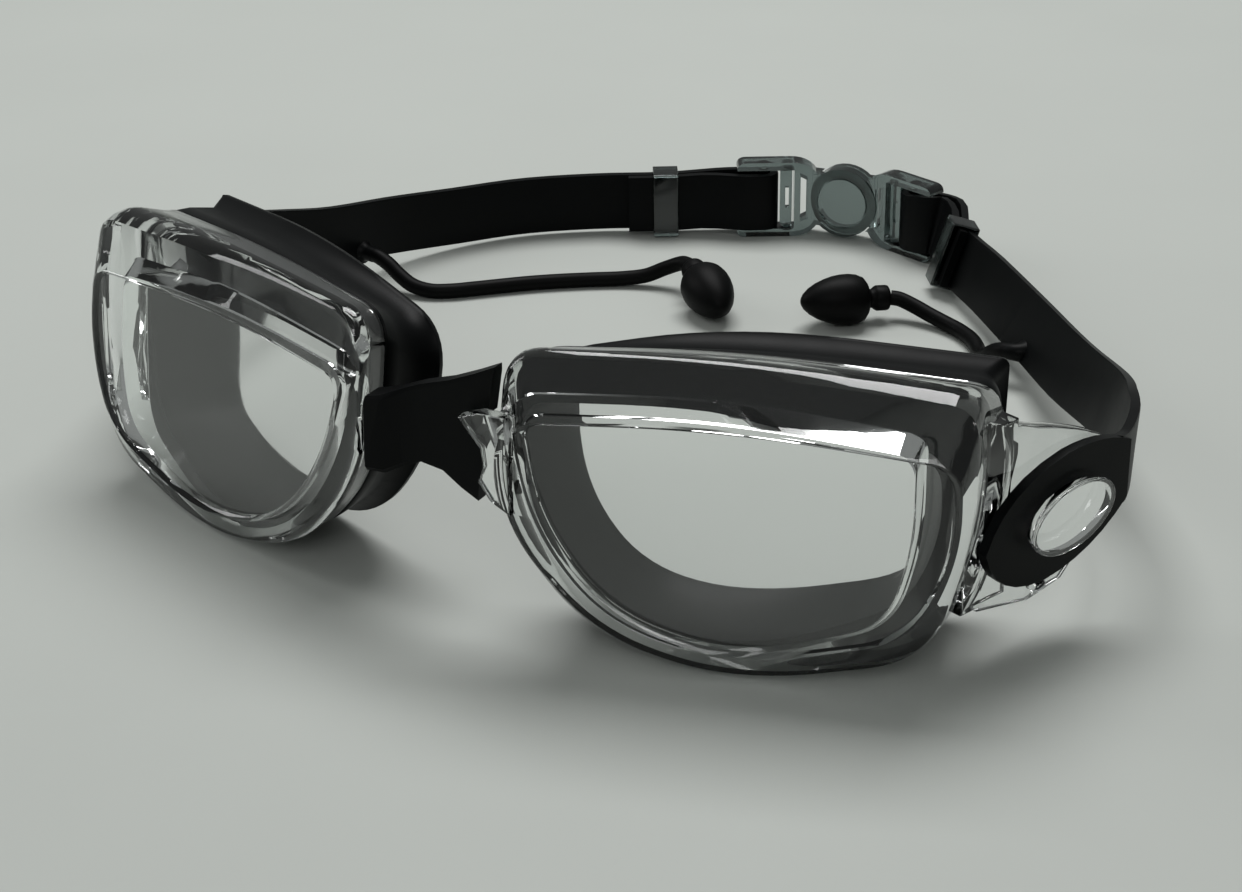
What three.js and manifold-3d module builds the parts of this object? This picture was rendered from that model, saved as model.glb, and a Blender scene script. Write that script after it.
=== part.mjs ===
// Swimming goggles with corded ear plugs, standing on a table with the strap loop lying behind the eyecups.
// Millimetres, +Z up. The lenses face -Y and the wearer's left is +X.
import * as THREE from 'three';
import { mergeVertices } from 'three/addons/utils/BufferGeometryUtils.js';
import Module from 'manifold-3d';

const wasm = await Module();
wasm.setup();

// ---------------------------------------------------------------- driving dimensions
const GAP = 0.3; // clearance between neighbouring pieces
const ORIGIN_SHIFT = new THREE.Vector3(0, -79.5, 0); // puts the origin under the middle of the goggles

const CORNER_STEPS = 4; // facets on each rounded corner of an eyecup loop
const CUP_CENTRE = new THREE.Vector3(46, -1, 24); // middle of the left pane's outer face
const CUP_YAW = THREE.MathUtils.degToRad(15.7); // the pane turns outwards
const CUP_TILT = THREE.MathUtils.degToRad(-7.9); // the pane's top leans back
const WALL = 1.1; // rim wall of the shell
const FLANGE_DEEP = 2; // straight band at the back of the rim

// Eyecup loops, left side: corners as [across to the temple, up, back from the pane, rounding].
// Order: nose top, top middle, temple top, temple middle, temple bottom, bottom, nose bottom, nose middle.
const PANE_EDGE = [
  [-30.5, 13.2, 0, 4],
  [0, 15.2, 0, 18],
  [33.6, 12.9, 0, 4],
  [34, 0, 0, 9],
  [28.5, -13.5, 0, 8],
  [3, -20, 0, 12],
  [-16.5, -14.8, 0, 9],
  [-27, -1.5, 0, 10],
];
const RIM_EDGE = [
  [-33, 24, 2, 6],
  [0, 25.4, 2, 18],
  [37, 23, 6, 5],
  [37.5, 4, 6, 9],
  [32, -18, 4.5, 9],
  [3, -24.8, 2.5, 14],
  [-19.5, -19.3, 1.8, 10],
  [-34.6, -1.5, 1.5, 10],
];
const FLANGE_EDGE = [
  [-32, 23, 6, 6],
  [0, 25, 7.5, 18],
  [38.5, 21, 14.5, 5],
  [39.5, 3, 16.5, 9],
  [33.5, -17, 13.5, 9],
  [3, -23.8, 7.5, 14],
  [-19.5, -18.5, 5.6, 10],
  [-33.5, -1.5, 5, 10],
];
const SKIRT_EDGE = [
  [-30.4, 15.4, 3.6, 4],
  [0, 17.4, 3.9, 18],
  [31.2, 11.8, 9, 4],
  [32.2, 0, 11.5, 9],
  [27, -12.2, 9.5, 8],
  [3, -20.2, 4.2, 12],
  [-16.3, -15.5, 3.7, 9],
  [-28, -1.4, 3.6, 10],
];
const APERTURE = [
  [-27, 12.6, 14, 6],
  [0, 15, 14.5, 18],
  [29, 13, 22, 6],
  [30, 0, 25, 9],
  [26, -12.8, 21, 9],
  [2, -18.7, 14.5, 12],
  [-15.6, -14.9, 14, 10],
  [-24, -2, 14, 10],
];
const LIP_EDGE = [
  [-31, 17.8, 19.5, 8],
  [-2, 24, 19.5, 18],
  [36.6, 20.8, 28, 1.5],
  [36, -2, 30.5, 10],
  [30.5, -16.8, 26.5, 10],
  [2, -20, 19.5, 14],
  [-19, -16.6, 18.5, 10],
  [-30, -1.5, 18.5, 10],
];
const LIP_INNER = [
  [-26.5, 13, 18.5, 6],
  [0, 17.4, 19, 18],
  [31, 14.4, 27, 5],
  [31.5, 0, 29.5, 9],
  [27, -12.8, 25.5, 9],
  [2, -16.6, 18.5, 12],
  [-14.5, -13.6, 17.5, 10],
  [-24, -2, 17.5, 10],
];
// The cavity's corner behind the pane, and the ledge that ends its thick temple side.
const CAVITY_FRONT = [
  [-30.6, 14.2, 2.2, 4],
  [0, 16.2, 2.2, 18],
  [28.2, 13.4, 2.2, 3],
  [28.6, 0, 2.2, 9],
  [25.2, -12.8, 2.2, 6],
  [3, -20.2, 2.2, 12],
  [-16.6, -15.2, 2.2, 9],
  [-27.6, -1.5, 2.2, 10],
];
const CAVITY_LEDGE = [
  [-31.6, 17, 3, 4],
  [0, 19, 3.3, 18],
  [28.8, 15, 7.8, 3],
  [29.2, 0, 8.4, 9],
  [25.8, -13.4, 7, 6],
  [3, -21.4, 3.5, 12],
  [-17.4, -16.6, 3, 9],
  [-29.6, -1.5, 2.9, 10],
];
const LIP_FLARE = 1.6;
const LIP_THICK = 1.2;

const BOSS_CENTRE = new THREE.Vector3(84.8, 33.4, 21.5); // on the outer face of the left temple wing
const WING_YAW = THREE.MathUtils.degToRad(-19); // the wing splays outwards as it runs back
const WING_THICK = 2.4;
const BOSS_LONG = 8.4; // half lengths of the oval strap boss
const BOSS_HIGH = 4.6;
const BOSS_OUT = 3.2;
const BOSS_CAP = 0.8; // the boss's flange stands this far round it
const BOSS_CAP_THICK = 0.9;
const BOSS_SLANT = THREE.MathUtils.degToRad(6);

const STRAP_HIGH = 12;
const STRAP_THICK = 1.7;
const STRAP_IN_CLASP = -0.4; // the strap's middle against the clasp's
const TAIL_SHARE = 0.31; // share of the strap's run that its tail doubles

const CLASP_CENTRE = new THREE.Vector3(-12.9, 166.5, 8.2);
const CLASP_HIGH = 16.4;
const CLASP_THICK = 4.2;
const CLASP_LONG = 23.2; // from the hub's axis to the outer end of each half
const CLASP_YAW = THREE.MathUtils.degToRad(6.6);
const ARM_PIVOT = 7; // each half bends towards the head at this distance from the hub's axis
const ARM_BEND = THREE.MathUtils.degToRad(24);
const HUB_RADIUS = 7.4;
const STUD_RADIUS = 5.2;
const RAIL = 1.7; // height of a side rail
const BAR_AT = 17.6; // strap bar's distance from the hub
const BAR_RADIUS = 1.15;
const LOCK_PIN_AT = 12.6;
const LOCK_PIN_RADIUS = 0.8;

const KEEPER_LONG = 5.2;
const KEEPER_WALL = 0.6;

const CORD_RADIUS = 1.5;
const CORD_SIDES = 8;

// ---------------------------------------------------------------- finishes
const finish = (color, roughness, opacity = 1) => new THREE.MeshStandardMaterial({
  color, roughness, metalness: 0, opacity, transparent: opacity < 1,
});
const CLEAR = () => finish('#dfe6e4', 0.05, 0.35);
const BLACK_SILICONE = () => finish('#17191a', 0.5);
const SMOKE_PLASTIC = () => finish('#6f7c7d', 0.2, 0.6);
const PLUG_SILICONE = () => finish('#101112', 0.55);

// ---------------------------------------------------------------- shape helpers
const vec = (x, y, z) => new THREE.Vector3(x, y, z);
const mix = THREE.MathUtils.lerp;

// Point part of the way from a corner to its neighbour, never past the middle of that side.
function towards(corner, neighbour, reach) {
  const share = Math.min(reach / corner.distanceTo(neighbour), 0.49);
  return corner.clone().lerp(neighbour, share);
}

// Smooth closed ring of points from the corners of a loop, in the cup's own frame (x across, y back, z up).
function ringOf(loop, steps = CORNER_STEPS) {
  const corners = loop.map(([across, up, back]) => vec(across, back, up));
  return loop.flatMap(([, , , rounding], i) => {
    const start = towards(corners[i], corners.at(i - 1), rounding);
    const end = towards(corners[i], corners[(i + 1) % corners.length], rounding);
    return new THREE.QuadraticBezierCurve3(start, corners[i], end).getPoints(steps);
  });
}

// A loop part of the way between two others.
const between = (a, b, share, depthShare = share) => a.map((corner, i) => [
  mix(corner[0], b[i][0], share),
  mix(corner[1], b[i][1], share),
  mix(corner[2], b[i][2], depthShare),
  mix(corner[3], b[i][3], share),
]);

// A loop grown outwards in its own plane, and moved back.
const grown = (loop, outwards, back = 0) => loop.map(([across, up, depth, rounding]) => {
  const share = outwards / Math.hypot(across, up);
  return [across * (1 + share), up * (1 + share), depth + back, rounding];
});

// Closed solid through rings of equally many points: a torus when joined, else capped at both ends.
function loft(rings, joined = false) {
  const count = rings[0].length;
  const points = rings.flat();
  const faces = [];
  const lastRing = joined ? rings.length : rings.length - 1;
  for (let r = 0; r < lastRing; r += 1) {
    const here = r * count;
    const next = ((r + 1) % rings.length) * count;
    for (let i = 0; i < count; i += 1) {
      const j = (i + 1) % count;
      faces.push([here + i, here + j, next + j], [here + i, next + j, next + i]);
    }
  }
  if (!joined) {
    const cap = (ring, flipped) => {
      const middle = points.length;
      points.push(rings[ring].reduce((sum, p) => sum.add(p), vec(0, 0, 0)).divideScalar(count));
      for (let i = 0; i < count; i += 1) {
        const a = ring * count + i;
        const b = ring * count + ((i + 1) % count);
        faces.push(flipped ? [a, middle, b] : [a, b, middle]);
      }
    };
    cap(0, true);
    cap(rings.length - 1, false);
  }
  const geometry = new THREE.BufferGeometry().setFromPoints(points);
  geometry.setIndex(faces.flat());
  return facingOut(geometry);
}

// Turns every face over when the closed surface encloses a negative volume.
function facingOut(geometry) {
  const at = geometry.getAttribute('position');
  const index = geometry.index.array;
  const [a, b, c] = [vec(0, 0, 0), vec(0, 0, 0), vec(0, 0, 0)];
  let volume = 0;
  for (let i = 0; i < index.length; i += 3) {
    a.fromBufferAttribute(at, index[i]);
    b.fromBufferAttribute(at, index[i + 1]);
    c.fromBufferAttribute(at, index[i + 2]);
    volume += a.dot(b.cross(c));
  }
  if (volume < 0) {
    for (let i = 0; i < index.length; i += 3) {
      [index[i + 1], index[i + 2]] = [index[i + 2], index[i + 1]];
    }
  }
  return geometry;
}

// The same surface with its shared corners merged, and only positions left.
function welded(geometry) {
  const bare = geometry.clone();
  bare.deleteAttribute('normal');
  bare.deleteAttribute('uv');
  return facingOut(mergeVertices(bare, 1e-4));
}

function solid(geometry) {
  const merged = welded(geometry);
  return new wasm.Manifold(new wasm.Mesh({
    numProp: 3,
    vertProperties: new Float32Array(merged.getAttribute('position').array),
    triVerts: new Uint32Array(merged.index.array),
  }));
}

function geometryOf(manifold) {
  const { vertProperties, triVerts } = manifold.getMesh();
  const geometry = new THREE.BufferGeometry();
  geometry.setAttribute('position', new THREE.BufferAttribute(vertProperties, 3));
  geometry.setIndex(new THREE.BufferAttribute(triVerts, 1));
  geometry.computeVertexNormals();
  return geometry;
}

const join = (...geometries) => geometryOf(geometries.map(solid).reduce((sum, next) => sum.add(next)));
const cut = (geometry, ...tools) => geometryOf(
  tools.map(solid).reduce((rest, tool) => rest.subtract(tool), solid(geometry)),
);

// The same shape on the other side of the mid-plane.
function mirrored(geometry) {
  return welded(geometry.clone().applyMatrix4(new THREE.Matrix4().makeScale(-1, 1, 1)));
}

// Plate standing in the X-Z plane of its frame, with its thickness along Y from near to far.
function plate(outline, near, far, holes = []) {
  const shape = outline instanceof THREE.Shape ? outline : new THREE.Shape(outline);
  shape.holes.push(...holes);
  const geometry = new THREE.ExtrudeGeometry(shape, {
    depth: far - near, bevelEnabled: false, curveSegments: 6, steps: 1,
  });
  return geometry.rotateX(Math.PI / 2).translate(0, far, 0);
}

function box(x, y, z) {
  const geometry = new THREE.BoxGeometry(x[1] - x[0], y[1] - y[0], z[1] - z[0]);
  return geometry.translate((x[0] + x[1]) / 2, (y[0] + y[1]) / 2, (z[0] + z[1]) / 2);
}

const flat = (points) => points.map(([x, y]) => new THREE.Vector2(x, y));

function ellipse(halfLong, halfHigh, slant = 0, x = 0, y = 0, Kind = THREE.Shape) {
  return new Kind().absellipse(x, y, halfLong, halfHigh, 0, Math.PI * 2, false, slant);
}

function piece(name, geometry, material) {
  const mesh = new THREE.Mesh(geometry, material);
  mesh.name = name;
  return mesh;
}

// ---------------------------------------------------------------- eyecups
const cupFrame = new THREE.Matrix4()
  .makeTranslation(CUP_CENTRE)
  .multiply(new THREE.Matrix4().makeRotationZ(CUP_YAW))
  .multiply(new THREE.Matrix4().makeRotationX(CUP_TILT));
// The wing frame has x along the strap, backwards, y towards the head and z up.
const wingFrame = new THREE.Matrix4()
  .makeTranslation(BOSS_CENTRE)
  .multiply(new THREE.Matrix4().makeRotationZ(Math.PI / 2 + WING_YAW));

// Pane and rim: out over the front, round the flange, and back along the cavity to the pane's inner face.
function shellCup() {
  const rings = [
    PANE_EDGE,
    grown(PANE_EDGE, 1, -0.5),
    between(PANE_EDGE, RIM_EDGE, 0.86, 0.3),
    RIM_EDGE,
    grown(RIM_EDGE, 0.1, 1.4),
    FLANGE_EDGE,
    grown(FLANGE_EDGE, -0.2, FLANGE_DEEP),
    grown(FLANGE_EDGE, -WALL, FLANGE_DEEP),
    grown(between(RIM_EDGE, FLANGE_EDGE, 0.3), -WALL, WALL),
    CAVITY_LEDGE,
    CAVITY_FRONT,
  ];
  return loft(rings.map((loop) => ringOf(loop))).applyMatrix4(cupFrame);
}

// The space that the gasket and its lip take up, with clearance, which the wing stays out of.
function gasketRoom() {
  const rings = [
    grown(RIM_EDGE, -WALL, WALL),
    grown(FLANGE_EDGE, -WALL, FLANGE_DEEP),
    grown(FLANGE_EDGE, 0.1, FLANGE_DEEP),
    grown(between(FLANGE_EDGE, LIP_EDGE, 0.35), 0.3, 0.6),
    grown(between(FLANGE_EDGE, LIP_EDGE, 0.7), -0.4, 0.6),
    grown(LIP_EDGE, LIP_FLARE + 0.5),
    grown(LIP_EDGE, LIP_FLARE + 0.5, LIP_THICK + 1),
  ];
  return loft(rings.map((loop) => ringOf(loop))).applyMatrix4(cupFrame);
}

// Temple wing that carries the oval strap boss, with a small lug and hole under it.
function templeWing() {
  const outline = new THREE.Shape();
  outline.moveTo(-16.5, 19.4);
  outline.lineTo(-5, 15.2);
  outline.quadraticCurveTo(5, 12, 11, 8.4);
  outline.quadraticCurveTo(13, -1, 8, -8);
  outline.lineTo(2.5, -13);
  outline.lineTo(-5, -14);
  outline.lineTo(-16.5, -11.6);
  outline.closePath();
  const lugHole = ellipse(1.7, 1, 0, -3, -11.8, THREE.Path);
  const wing = plate(outline, 0, WING_THICK, [lugHole]);
  const root = box([-20, -9.5], [0.02, 3.8], [-11, 18]);
  const boss = plate(ellipse(BOSS_LONG, BOSS_HIGH, BOSS_SLANT), -BOSS_OUT, 0.5);
  const capOut = BOSS_OUT + BOSS_CAP_THICK;
  const cap = plate(ellipse(BOSS_LONG + BOSS_CAP, BOSS_HIGH + BOSS_CAP, BOSS_SLANT), -capOut, -BOSS_OUT + 0.05);
  const shapes = [wing, root, boss, cap].map((shape) => shape.applyMatrix4(wingFrame));
  return cut(join(...shapes), gasketRoom());
}

// Nose hook of the left shell: a pointed head in front of the bridge, and a peg back through its slot.
function noseHook() {
  const head = plate(
    flat([[16, 23], [15.6, 39], [11, 38.8], [7.4, 37.4], [11.2, 33], [11.6, 30], [10.6, 27.4], [12.6, 24.6]]),
    -10.4,
    -8,
  );
  const root = box([13, 16], [-8.2, -6], [26, 38.4]);
  const peg = box([9.2, 11.4], [-8.2, -3.4], [34.6, 37.2]);
  return [head, root, peg];
}

// Nose tongue of the right shell, plugged into the bridge's socket.
function noseTongue() {
  return [box([-15, -7.8], [-7.1, -5.5], [25.5, 33.5])];
}

function lensShell(side) {
  const cup = [shellCup(), templeWing()];
  const placed = side > 0 ? cup : cup.map(mirrored);
  return join(...placed, ...(side > 0 ? noseHook() : noseTongue()));
}

// Gasket: skirt inside the shell, body behind the flange, flared lip against the face.
function faceGasket() {
  const rings = [
    SKIRT_EDGE,
    grown(SKIRT_EDGE, 0.9, 0.2),
    grown(between(RIM_EDGE, FLANGE_EDGE, 0.3), -WALL - 0.4, WALL + 0.6),
    grown(FLANGE_EDGE, -WALL - 0.4, FLANGE_DEEP + GAP),
    grown(FLANGE_EDGE, -0.5, FLANGE_DEEP + GAP),
    grown(between(FLANGE_EDGE, LIP_EDGE, 0.35), -0.2, 0.6),
    grown(between(FLANGE_EDGE, LIP_EDGE, 0.7), -1, 0.6),
    grown(LIP_EDGE, LIP_FLARE),
    grown(LIP_EDGE, LIP_FLARE - 0.6, LIP_THICK),
    grown(LIP_EDGE, -2.4, 0.8),
    LIP_INNER,
    APERTURE,
  ];
  return loft(rings.map((loop) => ringOf(loop)), true).applyMatrix4(cupFrame);
}

// ---------------------------------------------------------------- nose bridge
// Sections from the right shell to the left one: [x, y, middle height, height, thickness, slant].
const BRIDGE_SECTIONS = [
  [-11.6, -6.4, 29.6, 11, 3.2, 0.04],
  [-11, -6.4, 29.6, 12.6, 4.6, 0.04],
  [-8, -6.2, 30, 13.2, 4.6, 0],
  [-5, -6, 31.4, 13, 3, 0],
  [-1.5, -6, 33, 13.2, 2.8, 0.05],
  [3, -6, 33.6, 15.4, 2.8, 0.12],
  [7, -6.1, 33.6, 19.6, 2.8, 0.16],
  [10.4, -6.2, 33.8, 23, 2.6, 0.17],
];

// Rounded upright section of a band: eight points in the plane across it.
function bandSection(middle, sideways, high, thick, round = 0.3) {
  const offsets = [
    [-1, -1 + round], [-1, 1 - round], [-1 + round * 2, 1], [1 - round * 2, 1],
    [1, 1 - round], [1, -1 + round], [1 - round * 2, -1], [-1 + round * 2, -1],
  ];
  return offsets.map(([across, up]) => middle.clone()
    .addScaledVector(sideways, across * thick / 2)
    .add(vec(0, 0, up * high / 2)));
}

function noseBridge() {
  const rings = BRIDGE_SECTIONS.map(([x, y, z, high, thick, slant]) => {
    const section = bandSection(vec(x, y, z), vec(0, 1, 0), high, thick, 0.12);
    return section.map((p) => p.setX(x + (p.z - z) * slant));
  });
  const socket = box([-13, -7.5], [-7.4, -5.2], [25.2, 33.8]);
  const slot = box([8.9, 13], [-12, 0], [34.3, 37.5]);
  return cut(loft(rings), socket, slot);
}

// ---------------------------------------------------------------- head straps
// Routes of the strap's middle from behind the boss to the clasp: [x, y, middle height, outward lean].
const LEFT_ROUTE = [
  [89.4, 50, 22.6, 0], [87.4, 58.6, 22.2, 3], [83, 68.5, 20.6, 8], [76.4, 80.4, 17.2, 20], [62, 100.7, 12, 28],
  [46.5, 120.6, 9.4, 25], [31, 138.4, 8.2, 22],
];
const RIGHT_ROUTE = [
  [-90.4, 51, 22.4, 0], [-91.6, 62, 20.8, 0], [-91.4, 76, 16.6, 0], [-90, 90, 12.6, 0],
  [-87.4, 108, 9.2, 0], [-81.6, 122, 7.4, 0], [-72.6, 134.4, 7, 0], [-60, 144.4, 7, 0],
];
// Where each keeper holds the strap's two layers: [x, y, middle height, outward lean].
const LEFT_KEEPER = [19.4, 150.6, 7.8, 18];
const RIGHT_KEEPER = [-47.6, 151.4, 7.2, 0];

// Band standing on its edge along sections of a middle point, the direction along it and its lean in degrees.
function band(sections) {
  return loft(sections.map(({ middle, along, lean, outward }) => {
    const angle = THREE.MathUtils.degToRad(lean);
    const section = bandSection(vec(0, 0, 0), outward, STRAP_HIGH, STRAP_THICK, 0.06);
    const leaned = new THREE.Matrix4().makeRotationAxis(along, angle);
    return section.map((p) => p.applyMatrix4(leaned).add(middle));
  }));
}

// Frames of the clasp: the hub, and each half's arm, with x outwards along the arm and z up.
const hubFrame = (side) => new THREE.Matrix4()
  .makeTranslation(CLASP_CENTRE)
  .multiply(new THREE.Matrix4().makeRotationZ(CLASP_YAW + (side > 0 ? 0 : Math.PI)));
const armFrame = (side) => hubFrame(side)
  .multiply(new THREE.Matrix4().makeTranslation(ARM_PIVOT, 0, 0))
  .multiply(new THREE.Matrix4().makeRotationZ(side > 0 ? -ARM_BEND : ARM_BEND))
  .multiply(new THREE.Matrix4().makeTranslation(-ARM_PIVOT, 0, 0));

// Eye of the strap: an oval ring round the boss, running into the band behind it.
function strapEye(side) {
  const near = -GAP - STRAP_THICK;
  const far = -GAP;
  const hole = ellipse(BOSS_LONG + GAP, BOSS_HIGH + GAP, BOSS_SLANT, 0, 0, THREE.Path);
  const outline = new THREE.Shape();
  outline.moveTo(14.6, 7.4);
  outline.quadraticCurveTo(8, 10.6, 0, 10);
  outline.quadraticCurveTo(-14, 8.2, -17.6, -1);
  outline.quadraticCurveTo(-15, -9.6, -4, -10);
  outline.quadraticCurveTo(7, -9.4, 14.6, -2.4);
  outline.closePath();
  const eye = plate(outline, near, far, [hole]).applyMatrix4(wingFrame);
  return side > 0 ? eye : mirrored(eye);
}

// Strap run behind the boss: the main layer goes round the clasp's bar, and its tail comes back beside it.
function strapSections(side) {
  const route = side > 0 ? LEFT_ROUTE : RIGHT_ROUTE;
  const keeper = side > 0 ? LEFT_KEEPER : RIGHT_KEEPER;
  const toClasp = armFrame(side);
  const outer = side > 0 ? 1 : -1; // local y that points away from the head
  const turn = BAR_RADIUS + GAP + STRAP_THICK / 2;
  const root = vec(12.4, -GAP - STRAP_THICK / 2, 2.4).applyMatrix4(wingFrame);
  root.x *= side;
  const atBar = (x, y) => vec(x, outer * y, STRAP_IN_CLASP).applyMatrix4(toClasp);
  const corners = [
    [root, 0],
    ...[...route, keeper].map(([x, y, z, lean]) => [vec(x, y, z), lean]),
    [atBar(BAR_AT + 8, turn), keeper[3] * 0.8],
    [atBar(BAR_AT + 3, turn), keeper[3] * 0.25],
    [atBar(BAR_AT, turn), 0],
  ];
  const curve = new THREE.CatmullRomCurve3(corners.map(([p]) => p), false, 'centripetal');
  const steps = 44;
  const leanAt = (t) => {
    const place = t * (corners.length - 1);
    const low = Math.min(Math.floor(place), corners.length - 2);
    return mix(corners[low][1], corners[low + 1][1], place - low);
  };
  const main = [];
  for (let i = 0; i <= steps; i += 1) {
    const t = i / steps;
    const along = curve.getTangent(t).setZ(0).normalize();
    const outward = vec(along.y, -along.x, 0).multiplyScalar(side);
    main.push({ middle: curve.getPoint(t), along: along.clone(), lean: side * leanAt(t), outward, share: t });
  }
  const fold = [];
  for (let i = 1; i < 6; i += 1) {
    const angle = (i / 6) * Math.PI;
    const middle = atBar(BAR_AT - Math.sin(angle) * turn, Math.cos(angle) * turn);
    const across = vec(-Math.sin(angle), outer * Math.cos(angle), 0);
    const outward = across.transformDirection(toClasp);
    fold.push({ middle, along: vec(0, 0, 1), lean: 0, outward });
  }
  // The tail lies on the head side, closing up to the main layer on its way to the keeper.
  const tailSteps = main.filter(({ share }) => share > 1 - TAIL_SHARE).reverse();
  const barAt = tailSteps[0].middle;
  const tail = tailSteps.map(({ middle, along, lean, outward }) => {
    const closed = THREE.MathUtils.smoothstep(middle.distanceTo(barAt), 3, 15);
    const apart = mix(turn * 2, STRAP_THICK + GAP, closed);
    const angle = THREE.MathUtils.degToRad(lean);
    const inward = outward.clone().applyAxisAngle(along, angle).multiplyScalar(-apart);
    return { middle: middle.clone().add(inward), along, lean, outward: outward.clone().negate() };
  });
  return [...main, ...fold, ...tail];
}

const headStrap = (side) => join(strapEye(side), band(strapSections(side)));

// ---------------------------------------------------------------- clasp
// One clasp half in the X-Z plane: rails open to the outer end, a window beside the hub.
function claspArm() {
  const high = CLASP_HIGH / 2;
  const outline = new THREE.Shape();
  outline.moveTo(6.2, -5.4);
  outline.quadraticCurveTo(8, -high, 12, -high);
  outline.lineTo(CLASP_LONG - 2, -high);
  outline.quadraticCurveTo(CLASP_LONG, -high, CLASP_LONG, -high + RAIL);
  outline.lineTo(11.2, -high + RAIL);
  outline.lineTo(11.2, high - RAIL);
  outline.lineTo(CLASP_LONG, high - RAIL);
  outline.quadraticCurveTo(CLASP_LONG, high, CLASP_LONG - 2, high);
  outline.lineTo(12, high);
  outline.quadraticCurveTo(8, high, 6.2, 5.4);
  outline.closePath();
  const window = new THREE.Path(flat([[8.3, -4.2], [9.9, -5], [9.9, 5], [8.3, 4.2]]));
  return plate(outline, -CLASP_THICK / 2, CLASP_THICK / 2, [window]);
}

function upright(radius, x, y, from, to, sides = 16) {
  const geometry = new THREE.CylinderGeometry(radius, radius, Math.abs(to - from), sides);
  return geometry.rotateX(Math.PI / 2).translate(x, y, (from + to) / 2);
}

function discAcross(radius, from, to, sides = 32) {
  const geometry = new THREE.CylinderGeometry(radius, radius, to - from, sides);
  return geometry.translate(0, (from + to) / 2, 0);
}

// The ring half is on the right strap, with the ring on the head side. The left half's back disc covers
// the ring from behind, and its stud fills the ring.
function claspHalf(side) {
  const half = CLASP_THICK / 2;
  const railIn = CLASP_HIGH / 2 - RAIL;
  const pinHole = (sign) => upright(
    LOCK_PIN_RADIUS + GAP, LOCK_PIN_AT, 0, sign * (railIn + 0.6), sign * (railIn - 2), 12,
  );
  const bar = upright(BAR_RADIUS, BAR_AT, 0, -railIn - 0.5, railIn + 0.5, 12);
  const arm = cut(join(claspArm(), bar), pinHole(1), pinHole(-1)).applyMatrix4(armFrame(side));
  const neck = box([2, ARM_PIVOT + 0.9], [-half, half], [-5.6, 5.6]).applyMatrix4(hubFrame(side));
  const hub = hubFrame(1);
  const ringFront = -half;
  const ringBack = half - 1.8;
  const across = (radius, from, to) => discAcross(radius, from, to).applyMatrix4(hub);
  if (side > 0) {
    const room = across(HUB_RADIUS + GAP, ringFront - 4, ringBack + GAP);
    const back = across(HUB_RADIUS, ringBack + GAP, half);
    const stud = across(STUD_RADIUS, ringFront, ringBack + GAP + 0.1);
    return join(cut(join(arm, neck), room), back, stud);
  }
  const room = across(HUB_RADIUS + GAP, ringBack, half + 4);
  const ring = across(HUB_RADIUS, ringFront, ringBack);
  const hole = across(STUD_RADIUS + GAP, ringFront - 4, half + 4);
  return cut(join(cut(join(arm, neck), room), ring), hole);
}

// Lock plate that rocks on two trunnions and bites the strap on the bar.
function strapLock(side) {
  const railIn = CLASP_HIGH / 2 - RAIL;
  const tall = railIn - 0.5;
  const outline = new THREE.Shape(flat([[-1, -tall], [1.5, -tall], [1.5, tall], [-1, tall]]));
  const slot = new THREE.Path(flat([[-0.4, -2.2], [0.4, -2.2], [0.4, 2.2], [-0.4, 2.2]]));
  const body = plate(outline, -0.8, 0.8, [slot]).translate(LOCK_PIN_AT, 0, 0);
  const pin = (sign) => upright(LOCK_PIN_RADIUS, LOCK_PIN_AT, 0, sign * (tall - 0.3), sign * (railIn + 0.3), 12);
  return join(body, pin(1), pin(-1)).applyMatrix4(armFrame(side));
}

// ---------------------------------------------------------------- keepers
// Frame at the keeper: x along the strap, y away from the head, z up the leaning strap.
function keeperFrame(side) {
  const [x, y, z, lean] = side > 0 ? LEFT_KEEPER : RIGHT_KEEPER;
  const sections = strapSections(side).slice(0, 45);
  const middle = vec(x, y, z);
  const nearest = sections.reduce((best, next) => (
    next.middle.distanceTo(middle) < best.middle.distanceTo(middle) ? next : best));
  const angle = THREE.MathUtils.degToRad(lean * side);
  const across = nearest.outward.clone().applyAxisAngle(nearest.along, angle);
  const up = across.clone().cross(nearest.along).multiplyScalar(-side);
  const basis = new THREE.Matrix4().makeBasis(nearest.along.clone().multiplyScalar(side), across, up);
  return basis.setPosition(nearest.middle);
}

function strapKeeper(side) {
  const long = KEEPER_LONG / 2;
  const layers = [-STRAP_THICK * 1.5 - GAP * 2.6, STRAP_THICK / 2 + GAP * 1.3];
  const high = STRAP_HIGH / 2 + GAP;
  const outer = box(
    [-long, long],
    [layers[0] - KEEPER_WALL, layers[1] + KEEPER_WALL],
    [-high - KEEPER_WALL, high + KEEPER_WALL],
  );
  const hole = box([-long - 1, long + 1], layers, [-high, high]);
  return welded(cut(outer, hole).applyMatrix4(keeperFrame(side)));
}

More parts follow.
